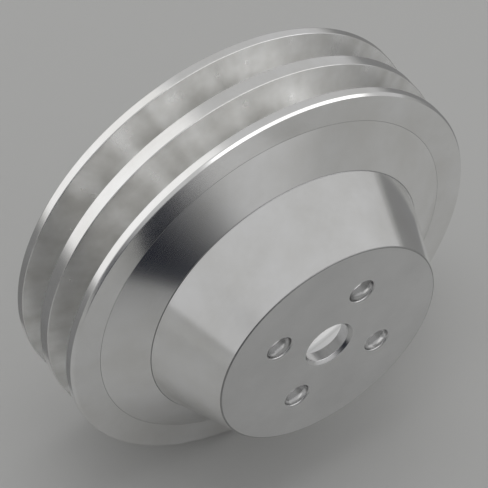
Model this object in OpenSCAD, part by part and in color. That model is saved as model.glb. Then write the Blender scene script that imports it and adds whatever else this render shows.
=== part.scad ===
// Two-groove V-belt pulley with a long conical hub, turned from one aluminium blank.
// The shaft axis lies along Y with the hub's nose at -Y, and +Z is up.
// The origin is the centre of the web's back face, where the pulley seats on the drive hub.

/* [Rim] */
// Outside diameter over the three lands, mm
rim_d = 150.4; // [140:0.2:160]
// Distance between the centres of the two belt grooves, mm
groove_pitch = 15.875; // [14.5:0.125:17]
// Width of a belt groove at the rim, mm
groove_top = 11.4; // [9.6:0.1:12.4]
// Depth of a belt groove from the rim, mm
groove_depth = 13; // [10:0.5:13.5]
// Included angle of a belt groove, degrees
groove_angle = 36; // [34:1:40]
// Width of the land in front of the front groove and behind the rear groove, mm
edge_land = 2.6; // [1.6:0.1:5]
// Broken edge where a groove meets a land, mm
edge_break = 0.25; // [0.1:0.05:0.5]
// Radial size of the long bevel on the rim's front corner, mm
bevel_r = 0.6; // [0.3:0.1:1.5]
// Length of that bevel along the axis, mm
bevel_z = 1.1; // [0.5:0.1:2]

/* [Hub] */
// Diameter of the inner edge of the rim's flat front face, mm
shoulder_d = 129.8; // [124:0.2:136]
// Diameter of the corner where the shoulder meets the hub cone, mm
root_d = 101.6; // [96:0.2:108]
// Rise of the shoulder from the rim's front face to that corner, mm
shoulder_rise = 7.2; // [4:0.1:10]
// Diameter of the nose, measured to the sharp corner, mm
nose_d = 81.2; // [76:0.2:90]
// Reach of the nose beyond the rim's front face, mm
nose_reach = 31.7; // [24:0.1:40]
// Chamfer round the nose, mm
nose_edge = 0.5; // [0.2:0.1:1.5]

/* [Mounting] */
// Thickness of the web that is clamped to the drive hub, mm
web_t = 4.8; // [3.5:0.1:8]
// Diameter of the pilot bore, mm
bore_d = 15.875; // [12:0.125:20]
// Chamfer at the front of the pilot bore, mm
bore_edge = 1.05; // [0.3:0.05:1.5]
// Diameter of the bolt circle, mm
bolt_circle_d = 44.45; // [40:0.05:50]
// Number of bolt holes
bolt_count = 4; // [3:1:6]
// Diameter of a bolt hole, mm
bolt_hole_d = 8.73; // [6.5:0.01:10]
// Chamfer at the front of a bolt hole, mm
bolt_edge = 0.5; // [0.2:0.1:0.8]
// Turn of the bolt holes from the vertical, degrees
bolt_turn = 32; // [0:1:89]

/* [Back] */
// Diameter of the cavity inside the rim, mm
cavity_d = 114; // [106:1:118]
// Thickness of the hub wall, measured along the radius, mm
hub_wall = 6.4; // [4:0.1:8]
// Thickness of the shoulder, measured along the axis, mm
shoulder_t = 5.9; // [4:0.1:7]
// Chamfer on the rim's rear corners, mm
rear_edge = 0.5; // [0.2:0.1:1.5]

/* [Hidden] */
$fn = 128;
rim_r = rim_d / 2;
nose_r = nose_d / 2;
root_r = root_d / 2;
shoulder_r = shoulder_d / 2;
cavity_r = cavity_d / 2;
face_z = web_t - nose_reach;                       // flat front face of the rim
root_z = face_z + shoulder_rise;                   // corner between the shoulder and the cone
cone = (root_r - nose_r) / (web_t - root_z);       // radius gained by the cone per mm of depth
rise = shoulder_rise / (shoulder_r - root_r);      // slope of the shoulder
front_groove_z = face_z - bevel_z - edge_land - groove_top / 2;
rear_groove_z = front_groove_z - groove_pitch;
rear_z = rear_groove_z - groove_top / 2 - edge_land - rear_edge;
flank = tan(groove_angle / 2);
pocket_r = nose_r + cone * web_t - hub_wall;       // hollow of the hub at the web's back face
inner_root_r = (pocket_r + cone * (shoulder_t - face_z - rise * shoulder_r)) / (1 - cone * rise);
inner_root_z = (pocket_r - inner_root_r) / cone;   // where the hub's hollow meets the shoulder's back
cavity_z = face_z + rise * (shoulder_r - cavity_r) - shoulder_t;
corner = 2;                                        // relief in the cavity's deep corner

// Outline of the blank before the grooves, the cavity and the holes are cut.
module turned_blank() {
    rotate_extrude() polygon([
        [0, web_t],
        [nose_r - nose_edge * (1 - cone), web_t],
        [nose_r + nose_edge * cone, web_t - nose_edge],
        [root_r, root_z],
        [shoulder_r, face_z],
        [rim_r - bevel_r, face_z],
        [rim_r, face_z - bevel_z],
        [rim_r, rear_z + rear_edge],
        [rim_r - rear_edge, rear_z],
        [0, rear_z]
    ]);
}

// Ring cut by the groove tool: straight flanks, a flat floor and broken edges at the lands.
module groove_cut(z) {
    floor_w = groove_top / 2 - groove_depth * flank;
    mouth_w = groove_top / 2 - edge_break * flank;
    translate([0, 0, z]) rotate_extrude() polygon([
        [rim_r - groove_depth, -floor_w],
        [rim_r - edge_break, -mouth_w],
        [rim_r + 1, -mouth_w - edge_break - 1],
        [rim_r + 1, mouth_w + edge_break + 1],
        [rim_r - edge_break, mouth_w],
        [rim_r - groove_depth, floor_w]
    ]);
}

// The hollow back: a wide cavity inside the rim, then a cone that follows the hub to the web.
module back_cut() {
    rotate_extrude() polygon([
        [0, 0],
        [pocket_r, 0],
        [inner_root_r, inner_root_z],
        [cavity_r - corner, cavity_z + corner * rise],
        [cavity_r, cavity_z - corner],
        [cavity_r, rear_z + 2 * rear_edge],
        [cavity_r + 2 * rear_edge + 1, rear_z - 1],
        [0, rear_z - 1]
    ]);
}

// A hole through the web with a chamfer at its front edge.
module web_hole(d, edge) {
    translate([0, 0, -1]) cylinder(h = web_t + 2, d = d);
    translate([0, 0, web_t - edge]) cylinder(h = edge + 1, d1 = d, d2 = d + 2 * edge + 2);
}

// The finished pulley, laid with its axis along Y.
module pulley() {
    color([0.78, 0.78, 0.79]) rotate([90, 0, 0]) difference() {
        turned_blank();
        groove_cut(front_groove_z);
        groove_cut(rear_groove_z);
        back_cut();
        web_hole(bore_d, bore_edge);
        for (i = [0 : bolt_count - 1])
            rotate([0, 0, 90 - bolt_turn + i * 360 / bolt_count])
                translate([bolt_circle_d / 2, 0, 0]) web_hole(bolt_hole_d, bolt_edge);
    }
}

pulley();
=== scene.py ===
# %% [markdown]
# A V-belt pulley for an engine's water pump, turned from one blank of aluminium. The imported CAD
# part gives the frame, its size and its place. This lesson gives it the finish of the real one:
# fine turning marks, satin grooves where the belts run, and small broken edges that catch light.

# %% Load the CAD part as a fixed frame
import bpy
import bmesh
import math
from mathutils import Matrix, Vector


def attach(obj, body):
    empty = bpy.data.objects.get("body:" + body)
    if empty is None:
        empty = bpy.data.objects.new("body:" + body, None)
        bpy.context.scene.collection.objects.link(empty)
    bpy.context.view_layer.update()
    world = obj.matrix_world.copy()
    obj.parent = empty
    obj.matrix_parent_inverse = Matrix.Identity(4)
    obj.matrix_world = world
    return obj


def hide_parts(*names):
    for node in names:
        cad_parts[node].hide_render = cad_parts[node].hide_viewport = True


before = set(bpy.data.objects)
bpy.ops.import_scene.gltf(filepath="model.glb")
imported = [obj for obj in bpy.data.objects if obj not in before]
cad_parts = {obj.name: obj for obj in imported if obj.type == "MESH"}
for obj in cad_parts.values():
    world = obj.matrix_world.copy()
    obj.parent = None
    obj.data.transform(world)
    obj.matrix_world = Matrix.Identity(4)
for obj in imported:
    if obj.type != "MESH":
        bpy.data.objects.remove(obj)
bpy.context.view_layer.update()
mm = 0.001

# %% [markdown]
# Everything on this pulley was cut while it spun on one axis, so one outline of half its section
# describes it all. A lathe works the same way: its tool follows an outline while the work turns.
# The shaft axis is Y, the nose faces -Y, and a point of the outline is a radius and a distance
# along Y, in millimetres. A corner also has a fillet, because a real tool never leaves a corner
# perfectly sharp, and it is that small radius that catches the light.

# %% Outline of the front: bore, nose, hub cone, shoulder and rim face
web_back = 0.0
nose_face = -4.8
bore_r = 7.9375
rim_r = 75.2
outline = [
    (bore_r, web_back, 0.15),
    (bore_r, nose_face + 1.05, 0.08),
    (bore_r + 1.05, nose_face, 0.06),
    (40.6, nose_face, 0.35),
    (50.8, 19.7, 0.2),
    (64.9, 26.9, 0.07),
    (74.5, 26.9, 0.14),
    (rim_r, 27.95, 0.18),
]
print(len(outline), "corners on the front")

# %% [markdown]
# Each groove has flanks 36 degrees apart and a narrow flat floor that the belt never touches.
# Their mouths leave three lands on the rim.

# %% Outline of the rim: two grooves and three lands
groove_r = 62.2
half_mouth = 5.7
half_floor = half_mouth - (rim_r - groove_r) * math.tan(math.radians(18))
groove_middles = (36.3, 52.175)
for middle in groove_middles:
    outline += [
        (rim_r, middle - half_mouth, 0.25),
        (groove_r, middle - half_floor, 0.4),
        (groove_r, middle + half_floor, 0.4),
        (rim_r, middle + half_mouth, 0.25),
    ]
rear_face = 60.975
outline += [(rim_r, rear_face, 0.5)]
print("floor of a groove is", round(2 * half_floor, 2), "mm wide")

# %% [markdown]
# The back is hollow, to keep the pulley light. The cavity first follows the rim, then the
# shoulder and the cone, and it ends at the web that bolts to the drive hub.

# %% Outline of the back: cavity wall, hollow of the hub and the web
outline += [
    (57.0, rear_face, 0.5),
    (57.0, 28.8, 1.6),
    (45.81, 23.06, 1.2),
    (36.2, web_back, 0.8),
]
print(len(outline), "corners all round")

# %% [markdown]
# The shine of a turned part follows the tool round and round. To give every point that direction
# later, each point of the outline is numbered with its distance along the outline before the
# spin. The spin copies the number to every step, so it can become a map afterwards.

# %% Draw the outline with rounded corners
section = bmesh.new()
corners = [section.verts.new((r * mm, y * mm, 0)) for r, y, fillet in outline]
for a, b in zip(corners, corners[1:] + corners[:1]):
    section.edges.new((a, b))
for corner, (r, y, fillet) in zip(corners, outline):
    bmesh.ops.bevel(section, geom=[corner], offset=fillet * mm, offset_type="OFFSET",
                    affect="VERTICES", segments=4, profile=0.5, material=-1)
run = section.verts.layers.float.new("run")
start = min(section.verts, key=lambda point: (point.co.x, -point.co.y))
here, walked, length = start, None, 0.0
while here is not start or walked is None:
    here[run] = length
    walked = [edge for edge in here.link_edges if edge is not walked][0]
    here = walked.other_vert(here)
    length += walked.calc_length()
print(len(section.verts), "points on an outline", round(length / mm, 1), "mm long")

# %% [markdown]
# A full spin about Y turns the outline into the blank. Merging the last step with the first
# closes the ring, and recalculating the normals makes every face point out of the metal.

# %% Spin the outline into the blank
steps = 288
bmesh.ops.spin(section, geom=section.verts[:] + section.edges[:], cent=(0, 0, 0), axis=(0, 1, 0),
               dvec=(0, 0, 0), angle=math.tau, steps=steps, use_merge=True)
bmesh.ops.remove_doubles(section, verts=section.verts, dist=1e-6)
bmesh.ops.recalc_face_normals(section, faces=section.faces)
print("blank:", len(section.faces), "faces,", round(section.calc_volume() * 1e6, 1), "cm3")

# %% [markdown]
# The map: U is the turn round the axis and V is the distance along the outline, in metres. Where
# a face crosses the start of either, its own corners are kept together, so nothing is smeared.

# %% Unroll the blank into a map
unrolled = section.loops.layers.uv.new("turning")
for face in section.faces:
    middle = face.calc_center_median()
    middle_turn = math.atan2(middle.z, middle.x) / math.tau
    longest = max(loop.vert[run] for loop in face.loops)
    for loop in face.loops:
        place = loop.vert.co
        turn = math.atan2(place.z, place.x) / math.tau
        turn += round(middle_turn - turn)
        along = loop.vert[run]
        if longest - along > length / 2:
            along += length
        loop[unrolled].uv = (turn, along)
print("map made for", len(section.faces), "faces")

# %% [markdown]
# One piece of metal can carry several finishes. The groove flanks have carried belts, the nose
# was left satin, the hollow back was only roughed out, and the rest was cut bright. The sharp
# edges were broken with a file, which leaves them dull, and a dark base colour on them is painted
# shade: a thin dark line round the nose and in the two corners at the ends of the shoulder.
# A face's finish follows from its middle, so a small function of radius and place sorts them.

# %% Sort the faces by finish
finishes = ["turned_bright", "nose_satin", "groove_worn", "bore_cut", "back_turned", "edge_filed"]

def finish_of(face):
    middle = face.calc_center_median()
    r = math.hypot(middle.x, middle.z) / mm
    y = middle.y / mm
    outwards = face.normal.x * middle.x + face.normal.z * middle.z
    nose_edge = r > 40.2 and y < nose_face + 0.4
    rim_corner = 64.7 < r < 65.1 and 26.7 < y < 27.1
    hub_corner = 50.5 < r < 51.1 and 19.4 < y < 20.0
    # painted shade: these edge and corner faces get a dark base colour that draws a thin dark line
    if nose_edge or rim_corner or hub_corner:
        return "edge_filed"
    if r < bore_r + 1.1 and y < web_back:
        return "bore_cut"
    if y < nose_face + 0.02:
        return "nose_satin"
    if r > groove_r - 1 and r < rim_r - 0.2 and min(abs(y - m) for m in groove_middles) < half_mouth:
        return "groove_worn"
    if y > rear_face - 0.02 or r > 62:
        return "turned_bright"
    if face.normal.y > 0.5 or (face.normal.y > -0.2 and outwards < 0):
        return "back_turned"
    return "turned_bright"

for face in section.faces:
    face.smooth = True
    face.material_index = finishes.index(finish_of(face))
for number, name in enumerate(finishes):
    print(name, "covers", sum(face.material_index == number for face in section.faces), "faces")

# %% [markdown]
# A bmesh is only a workbench. The finished blank is copied into a mesh, and an object shows it.
# The object stays at the origin, because the outline was drawn in the frame of the CAD part.

# %% Make the pulley object
mesh = bpy.data.meshes.new("pulley_turned")
section.to_mesh(mesh)
section.free()
for name in finishes:
    mesh.materials.append(bpy.data.materials.new(name))
pulley = bpy.data.objects.new("pulley_turned", mesh)
bpy.context.scene.collection.objects.link(pulley)
print(pulley.name, "has", len(mesh.materials), "finishes")

# %% [markdown]
# Four bolts hold the pulley to the drive hub. Each hole was drilled through the web and its front
# edge opened with a countersink. The plug that cuts a hole has the same shape, and it is spun
# about the middle of the hole just as the blank was spun about the shaft.

# %% Make a plug for each bolt hole
hole_r = 4.365
hole_circle_r = 22.225
first_hole = math.radians(58)
countersink = 0.5
plug_outline = [
    (0, 1),
    (hole_r, 1),
    (hole_r, nose_face + countersink),
    (hole_r + countersink + 1, nose_face - 1),
    (0, nose_face - 1),
]
plugs = bmesh.new()
for number in range(4):
    turn = first_hole + number * math.pi / 2
    middle = Vector((math.cos(turn), 0, math.sin(turn))) * hole_circle_r * mm
    points = [plugs.verts.new(middle + Vector((r, y, 0)) * mm) for r, y in plug_outline]
    lines = [plugs.edges.new(pair) for pair in zip(points, points[1:])]
    bmesh.ops.spin(plugs, geom=points + lines, cent=middle, axis=(0, 1, 0), dvec=(0, 0, 0),
                   angle=math.tau, steps=96, use_merge=True)
bmesh.ops.remove_doubles(plugs, verts=plugs.verts, dist=1e-6)
bmesh.ops.recalc_face_normals(plugs, faces=plugs.faces)
print("four plugs,", len(plugs.faces), "faces,", round(plugs.calc_volume() * 1e9), "mm3")

# %% [markdown]
# A boolean takes the plugs away from the web. It hands the plug's material to the walls that it
# cuts, so the holes get the drilled finish by themselves. The result is kept as a plain mesh and
# the plugs are thrown away.

# %% Drill the holes
plug_mesh = bpy.data.meshes.new("hole_plugs")
plugs.to_mesh(plug_mesh)
plugs.free()
plug_mesh.materials.append(bpy.data.materials["bore_cut"])
plug = bpy.data.objects.new("hole_plugs", plug_mesh)
bpy.context.scene.collection.objects.link(plug)
drill = pulley.modifiers.new("bolt_holes", "BOOLEAN")
drill.operation = "DIFFERENCE"
drill.solver = "EXACT"
drill.material_mode = "TRANSFER"
drill.object = plug
bpy.context.view_layer.update()
drilled = bpy.data.meshes.new_from_object(pulley.evaluated_get(bpy.context.evaluated_depsgraph_get()))
pulley.modifiers.clear()
pulley.data = drilled
bpy.data.objects.remove(plug)
print("after drilling:", len(drilled.polygons), "faces")

# %% [markdown]
# Smooth shading blends the normals of neighbouring faces, and across a tiny fillet that would
# also bend the wide flat faces. A weighted normal modifier lets the big faces win, so flats stay
# flat and only the fillets turn the light.

# %% Shade the metal and hand it over
for face in drilled.polygons:
    face.use_smooth = True
flat = pulley.modifiers.new("flat_faces", "WEIGHTED_NORMAL")
flat.mode = "FACE_AREA"
flat.weight = 50
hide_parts("pulley")
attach(pulley, "root")
print(pulley.name, "stands for the CAD pulley and rides on root")

# %% [markdown]
# Clean aluminium is a pale, fully metallic mirror whose gloss depends on the tool. A lathe leaves
# rings, so the gloss is stretched along U of the map, and a fine one-way noise along V makes
# rings of slightly different roughness and height. Because the noise reads only V, every ring
# closes on itself just as a tool mark does.

# %% A recipe for turned metal
def turned_metal(name, base, roughness, along, marks, mark_size):
    material = bpy.data.materials[name]
    material.use_nodes = True
    nodes = material.node_tree.nodes
    links = material.node_tree.links
    shader = nodes["Principled BSDF"]
    shader.inputs["Base Color"].default_value = (*base, 1)
    shader.inputs["Metallic"].default_value = 1
    shader.inputs["Anisotropic"].default_value = along
    shader.inputs["Anisotropic Rotation"].default_value = 0.25
    tangent = nodes.new("ShaderNodeTangent")
    tangent.direction_type = "UV_MAP"
    tangent.uv_map = "turning"
    links.new(tangent.outputs["Tangent"], shader.inputs["Tangent"])
    where = nodes.new("ShaderNodeUVMap")
    where.uv_map = "turning"
    split = nodes.new("ShaderNodeSeparateXYZ")
    links.new(where.outputs["UV"], split.inputs["Vector"])
    rings = nodes.new("ShaderNodeTexNoise")
    rings.noise_dimensions = "1D"
    rings.inputs["Scale"].default_value = 1 / (mark_size * mm)
    rings.inputs["Detail"].default_value = 3
    links.new(split.outputs["Y"], rings.inputs["W"])
    rough = nodes.new("ShaderNodeMapRange")
    rough.inputs["From Min"].default_value = 0.3
    rough.inputs["From Max"].default_value = 0.7
    rough.inputs["To Min"].default_value = roughness * 0.9
    rough.inputs["To Max"].default_value = roughness * 1.1
    links.new(rings.outputs["Fac"], rough.inputs["Value"])
    links.new(rough.outputs["Result"], shader.inputs["Roughness"])
    bump = nodes.new("ShaderNodeBump")
    bump.inputs["Strength"].default_value = marks
    bump.inputs["Distance"].default_value = 0.01 * mm
    links.new(rings.outputs["Fac"], bump.inputs["Height"])
    links.new(bump.outputs["Normal"], shader.inputs["Normal"])
    print(name, "has marks about", mark_size, "mm apart")

# %% [markdown]
# The same recipe serves the cut faces. The cone, shoulder and rim were cut last and shine. The
# nose is satin and darker, the drilled walls are a little rougher, and the hollow back shows
# deeper rings from a faster feed. The filed edges are dull, and their dark base colour is painted
# shade that draws a thin dark line along the nose edge and the shoulder's corners.

# %% Finish the cut faces
aluminium = (0.9, 0.9, 0.9)
turned_metal("turned_bright", aluminium, 0.17, 0.4, 0.05, 0.4)
turned_metal("nose_satin", (0.78, 0.78, 0.78), 0.32, 0.0, 0.1, 0.3)
turned_metal("bore_cut", (0.72, 0.72, 0.72), 0.25, 0.0, 0.2, 0.3)
turned_metal("back_turned", aluminium, 0.35, 0.7, 0.5, 0.6)
# painted shade: the dark base colour of the filed edges draws a thin dark line along them
turned_metal("edge_filed", (0.4, 0.4, 0.4), 0.45, 0.0, 0.1, 0.3)

# %% [markdown]
# Hands, cutting oil and air leave faint clouds on bare aluminium. A wide soft noise that tints
# the base colour by a few hundredths keeps the large plain faces from looking like plastic.

# %% Cloud the bright metal
def clouded(name, dark, pale, size):
    nodes = bpy.data.materials[name].node_tree.nodes
    links = bpy.data.materials[name].node_tree.links
    where = nodes.new("ShaderNodeTexCoord")
    clouds = nodes.new("ShaderNodeTexNoise")
    clouds.inputs["Scale"].default_value = 1 / (size * mm)
    clouds.inputs["Detail"].default_value = 4
    clouds.inputs["Roughness"].default_value = 0.6
    links.new(where.outputs["Object"], clouds.inputs["Vector"])
    tone = nodes.new("ShaderNodeValToRGB")
    tone.color_ramp.elements[0].position = 0.35
    tone.color_ramp.elements[0].color = (*dark, 1)
    tone.color_ramp.elements[1].position = 0.65
    tone.color_ramp.elements[1].color = (*pale, 1)
    links.new(clouds.outputs["Fac"], tone.inputs["Fac"])
    links.new(tone.outputs["Color"], nodes["Principled BSDF"].inputs["Base Color"])
    print(name, "is clouded every", size, "mm")

clouded("turned_bright", (0.84, 0.835, 0.82), (0.93, 0.93, 0.93), 22)
clouded("nose_satin", (0.7, 0.7, 0.7), (0.77, 0.77, 0.77), 25)

# %% [markdown]
# A belt grips the flanks of its groove and polishes them in streaks that run from the floor to
# the mouth, with grey rubber left between. Taking Y out of a point and making the rest one long
# leaves only its direction from the shaft, so noise on it can only change round the pulley and
# gives exactly such streaks.

# %% Streaks on the groove flanks
turned_metal("groove_worn", (0.8, 0.79, 0.77), 0.35, 0.8, 0.1, 0.5)
nodes = bpy.data.materials["groove_worn"].node_tree.nodes
links = bpy.data.materials["groove_worn"].node_tree.links
where = nodes.new("ShaderNodeTexCoord")
across = nodes.new("ShaderNodeVectorMath")
across.operation = "MULTIPLY"
across.inputs[1].default_value = (1, 0, 1)
links.new(where.outputs["Object"], across.inputs[0])
spoke = nodes.new("ShaderNodeVectorMath")
spoke.operation = "NORMALIZE"
links.new(across.outputs["Vector"], spoke.inputs[0])
streaks = nodes.new("ShaderNodeTexNoise")
streaks_per_radius = 7
streaks.inputs["Scale"].default_value = streaks_per_radius
streaks.inputs["Detail"].default_value = 2
streaks.inputs["Roughness"].default_value = 0.6
links.new(spoke.outputs["Vector"], streaks.inputs["Vector"])
print("streaks about", round(rim_r / streaks_per_radius, 1), "mm apart at the rim")

# %% [markdown]
# Rubber also comes off in patches. A second noise in plain space is added to the streaks, and
# half of the sum drives both the tone and the gloss: pale places are polished, grey ones dull.

# %% Rubber patches on the groove flanks
patches = nodes.new("ShaderNodeTexNoise")
patches.inputs["Scale"].default_value = 130
patches.inputs["Detail"].default_value = 3
links.new(where.outputs["Object"], patches.inputs["Vector"])
added = nodes.new("ShaderNodeMath")
added.operation = "ADD"
links.new(streaks.outputs["Fac"], added.inputs[0])
links.new(patches.outputs["Fac"], added.inputs[1])
wear = nodes.new("ShaderNodeMath")
wear.operation = "MULTIPLY"
wear.inputs[1].default_value = 0.5
links.new(added.outputs[0], wear.inputs[0])
tone = nodes.new("ShaderNodeValToRGB")
tone.color_ramp.elements[0].position = 0.36
tone.color_ramp.elements[0].color = (0.78, 0.775, 0.755, 1)
tone.color_ramp.elements[1].position = 0.62
tone.color_ramp.elements[1].color = (0.98, 0.98, 0.975, 1)
links.new(wear.outputs[0], tone.inputs["Fac"])
links.new(tone.outputs["Color"], nodes["Principled BSDF"].inputs["Base Color"])
dull_rubber = 0.42
polished = 0.26
gloss = nodes.new("ShaderNodeMapRange")
gloss.inputs["From Min"].default_value = 0.38
gloss.inputs["From Max"].default_value = 0.62
gloss.inputs["To Min"].default_value = dull_rubber
gloss.inputs["To Max"].default_value = polished
links.new(wear.outputs[0], gloss.inputs["Value"])
links.new(gloss.outputs["Result"], nodes["Principled BSDF"].inputs["Roughness"])
print("worn flanks lie between roughness", polished, "and", dull_rubber)

# %% [markdown]
# The pulley stands on its rim on a sheet of pale grey paper. The sheet is far wider than the
# pulley, so that the metal mirrors paper all the way to the horizon.

# %% Lay the paper
floor_z = -rim_r * mm
sheet = bmesh.new()
bmesh.ops.create_grid(sheet, x_segments=1, y_segments=1, size=3,
                      matrix=Matrix.Translation((0, 0.05, floor_z)))
floor_mesh = bpy.data.meshes.new("floor")
sheet.to_mesh(floor_mesh)
sheet.free()
floor = bpy.data.objects.new("floor", floor_mesh)
bpy.context.scene.collection.objects.link(floor)
paper = bpy.data.materials.new("paper")
paper.use_nodes = True
paper.node_tree.nodes["Principled BSDF"].inputs["Base Color"].default_value = (0.63, 0.63, 0.62, 1)
paper.node_tree.nodes["Principled BSDF"].inputs["Roughness"].default_value = 0.9
paper.node_tree.nodes["Principled BSDF"].inputs["Specular IOR Level"].default_value = 0
floor_mesh.materials.append(paper)
print("paper at", round(floor_z / mm, 2), "mm")

# %% [markdown]
# Lights and camera are easier to place by direction than by coordinates: an azimuth round the
# pulley, where 0 is straight in front of the nose, and an elevation above the paper.

# %% A helper for directions
pulley_middle = Vector((0, 0.028, 0))

def direction(azimuth, elevation):
    a = math.radians(azimuth)
    e = math.radians(elevation)
    return Vector((math.cos(e) * math.sin(a), -math.cos(e) * math.cos(a), math.sin(e)))

print("straight ahead is", tuple(round(v, 2) for v in direction(0, 0)))

# %% [markdown]
# The camera looks down from the front left with a long lens, which keeps the circles of the
# pulley close to true ellipses. The standard view transform shows the light levels as they are.

# %% Place the camera
aim = Vector((-6.6, 34.2, 14.5)) * mm
towards = direction(-33.16, 51.155)
camera = bpy.data.objects.new("camera", bpy.data.cameras.new("camera"))
camera_distance = 0.76
camera.location = aim + towards * camera_distance
camera.rotation_euler = (-towards).to_track_quat("-Z", "Y").to_euler()
camera.data.angle = math.radians(11.653)
camera.data.clip_start = 0.01
bpy.context.scene.collection.objects.link(camera)
bpy.context.scene.camera = camera
bpy.context.scene.view_settings.view_transform = "Standard"
print("camera at", [round(v, 3) for v in camera.location])

# %% [markdown]
# Shiny metal is lit by what it mirrors rather than by what falls on it. An even grey all round
# is the base, so no part of the metal mirrors nothing.

# %% Fill the room with an even grey
room = bpy.data.worlds.new("studio")
room.use_nodes = True
room.node_tree.nodes["Background"].inputs["Color"].default_value = (1, 1, 1, 1)
room_brightness = 0.5
room.node_tree.nodes["Background"].inputs["Strength"].default_value = room_brightness
bpy.context.scene.world = room
print("room brightness", room_brightness)

# %% [markdown]
# A softbox mirrored in metal shows its own edges, so each one fades out at its sides. The helper
# measures how far a point is from the nearer end of one side of the sheet, and turns that into a
# smooth 0 to 1.

# %% A fade for the edge of a softbox
def fade(nodes, links, value, edge):
    away = nodes.new("ShaderNodeMath")
    away.operation = "PINGPONG"
    away.inputs[1].default_value = 0.5
    links.new(value, away.inputs[0])
    soft = nodes.new("ShaderNodeMapRange")
    soft.interpolation_type = "SMOOTHSTEP"
    soft.inputs["From Max"].default_value = edge
    links.new(away.outputs[0], soft.inputs["Value"])
    return soft.outputs["Result"]

print("fade ready")

# %% [markdown]
# A softbox is an area light that faces the pulley. Its power is worked out from its size, so that
# the brightness given here is what a mirror would see. The roll turns it in its own plane.

# %% A recipe for a softbox
def softbox(name, place, width, height, brightness, edge, roll=0):
    light = bpy.data.lights.new(name, "AREA")
    light.shape = "RECTANGLE"
    light.size = width
    light.size_y = height
    light.energy = brightness * math.pi * width * height
    light.use_nodes = True
    nodes = light.node_tree.nodes
    links = light.node_tree.links
    sheet = nodes.new("ShaderNodeNewGeometry")
    split = nodes.new("ShaderNodeSeparateXYZ")
    links.new(sheet.outputs["Parametric"], split.inputs["Vector"])
    both = nodes.new("ShaderNodeMath")
    both.operation = "MULTIPLY"
    links.new(fade(nodes, links, split.outputs["X"], edge), both.inputs[0])
    links.new(fade(nodes, links, split.outputs["Y"], edge), both.inputs[1])
    links.new(both.outputs[0], nodes["Emission"].inputs["Strength"])
    box = bpy.data.objects.new(name, light)
    box.location = pulley_middle + place
    facing = place.to_track_quat("Z", "Y").to_matrix() @ Matrix.Rotation(math.radians(roll), 3, "Z")
    box.rotation_euler = facing.to_euler()
    box.visible_camera = False
    bpy.context.scene.collection.objects.link(box)
    print(name, "softbox", width, "by", height, "m")
    return box

# %% [markdown]
# The large key light stands behind the pulley on the left and gives the rim its long bright
# lands. A narrow strip in front on the right draws the thin highlight on the bevel of the rim
# face. Both are there for the metal alone, and the paper gets its own light from above, so the
# shadow round the foot of the pulley stays soft and close.

# %% Set up the three softboxes
key = softbox("key", direction(-134, 33), 1.2, 2.1, 0.42, 0.25)
key.data.color = (1, 0.99, 0.97)
key.visible_diffuse = False
strip = softbox("strip", direction(40, 44), 1.8, 0.42, 1.25, 0.15, -34)
strip.visible_diffuse = False
overhead = softbox("overhead", direction(0, 90), 0.6, 0.6, 1.6, 0.2)
overhead.visible_glossy = False

# %% [markdown]
# In a studio, black cloth is hung where metal should turn dark, because a dark reflection is
# what gives bright metal its shape. One flag stands in front on the left. It fades out at its
# top and at one side, so its reflection on the shoulder has one crisp side and one soft side.
# It hangs clear of the paper, so the shadow it adds round the foot of the pulley stays soft.

# %% Cut the flag
flag_width = 0.46
flag_height = 0.38
flag_distance = 0.29
flag_middle_height = 0.122
cloth = bmesh.new()
bmesh.ops.create_grid(cloth, x_segments=1, y_segments=1, size=0.5, calc_uvs=True)
cloth_map = cloth.loops.layers.uv.verify()
for face in cloth.faces:
    for loop in face.loops:
        loop[cloth_map].uv = (loop.vert.co.x + 0.5, loop.vert.co.y + 0.5)
bmesh.ops.scale(cloth, verts=cloth.verts, vec=(flag_width, flag_height, 1))
flag_out = direction(-32, 0)
upright = flag_out.to_track_quat("Z", "Y").to_matrix().to_4x4()
flag_middle = pulley_middle + flag_out * flag_distance
flag_middle.z = flag_middle_height
flag_place = Matrix.Translation(flag_middle)
bmesh.ops.transform(cloth, verts=cloth.verts, matrix=flag_place @ upright)
flag_mesh = bpy.data.meshes.new("flag")
cloth.to_mesh(flag_mesh)
cloth.free()
flag = bpy.data.objects.new("flag", flag_mesh)
bpy.context.scene.collection.objects.link(flag)
flag.visible_camera = False
print("flag", flag_width, "by", flag_height, "m")

# %% [markdown]
# Black cloth is never quite black. A trace of blue in it gives the dark reflection the cold tone
# that dark metal has, and the fade is done with transparency on the flag's own map.

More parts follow.
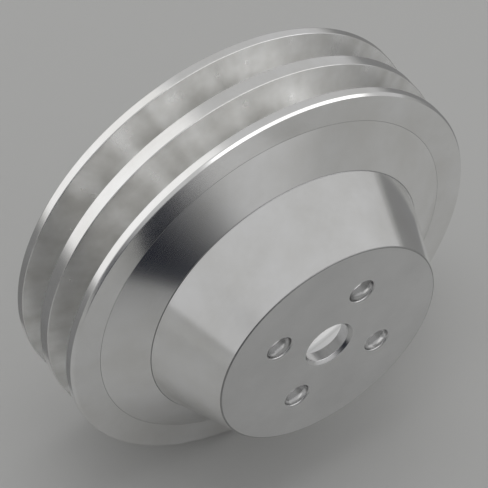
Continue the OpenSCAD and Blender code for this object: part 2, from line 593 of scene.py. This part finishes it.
# %% Dye the flag
black = bpy.data.materials.new("black_cloth")
black.use_nodes = True
nodes = black.node_tree.nodes
links = black.node_tree.links
nodes["Principled BSDF"].inputs["Base Color"].default_value = (0.008, 0.012, 0.03, 1)
nodes["Principled BSDF"].inputs["Roughness"].default_value = 1
where = nodes.new("ShaderNodeUVMap")
split = nodes.new("ShaderNodeSeparateXYZ")
links.new(where.outputs["UV"], split.inputs["Vector"])
side = nodes.new("ShaderNodeMapRange")
side.interpolation_type = "SMOOTHSTEP"
side.inputs["From Min"].default_value = 1.0
side.inputs["From Max"].default_value = 0.6
links.new(split.outputs["X"], side.inputs["Value"])
upper = nodes.new("ShaderNodeMapRange")
upper.interpolation_type = "SMOOTHSTEP"
upper.inputs["From Min"].default_value = 1.0
upper.inputs["From Max"].default_value = 0.2
links.new(split.outputs["Y"], upper.inputs["Value"])
thick = nodes.new("ShaderNodeMath")
thick.operation = "MULTIPLY"
links.new(side.outputs["Result"], thick.inputs[0])
links.new(upper.outputs["Result"], thick.inputs[1])
links.new(thick.outputs[0], nodes["Principled BSDF"].inputs["Alpha"])
flag_mesh.materials.append(black)
print("flag dyed")

# %% [markdown]
# To the sides the cone, the bevel and the lands mirror the paper beside the pulley, and would
# melt into it. A grey card laid on the paper gives them an outline. It is set so that only
# mirrors see it: it casts no shadow and sends no light to the paper.

# %% A recipe for a card on the paper
def lay_card(name, near_corner, far_corner, shade):
    x0, y0 = near_corner
    x1, y1 = far_corner
    card = bmesh.new()
    bmesh.ops.create_grid(card, x_segments=1, y_segments=1, size=0.5)
    bmesh.ops.scale(card, verts=card.verts, vec=(abs(x1 - x0), abs(y1 - y0), 1))
    bmesh.ops.translate(card, verts=card.verts, vec=((x0 + x1) / 2, (y0 + y1) / 2, floor_z + 1 * mm))
    card_mesh = bpy.data.meshes.new(name)
    card.to_mesh(card_mesh)
    card.free()
    grey = bpy.data.materials.new(name)
    grey.use_nodes = True
    grey.node_tree.nodes["Principled BSDF"].inputs["Base Color"].default_value = (shade, shade, shade, 1)
    grey.node_tree.nodes["Principled BSDF"].inputs["Roughness"].default_value = 1
    card_mesh.materials.append(grey)
    laid = bpy.data.objects.new(name, card_mesh)
    bpy.context.scene.collection.objects.link(laid)
    laid.visible_camera = False
    laid.visible_diffuse = False
    laid.visible_shadow = False
    print(name, "covers", round(abs((x1 - x0) * (y1 - y0)), 3), "square metres")

# %% [markdown]
# The card on the right starts level with the rim face, so that the shoulder still mirrors plain
# paper. The card on the left lies beside the rim and deepens the grooves there.

# %% Lay the two cards
lay_card("card_right", (0.14, 0.04), (0.94, 0.64), 0.33)
lay_card("card_left", (-0.085, 0.05), (-0.6, 0.5), 0.3)
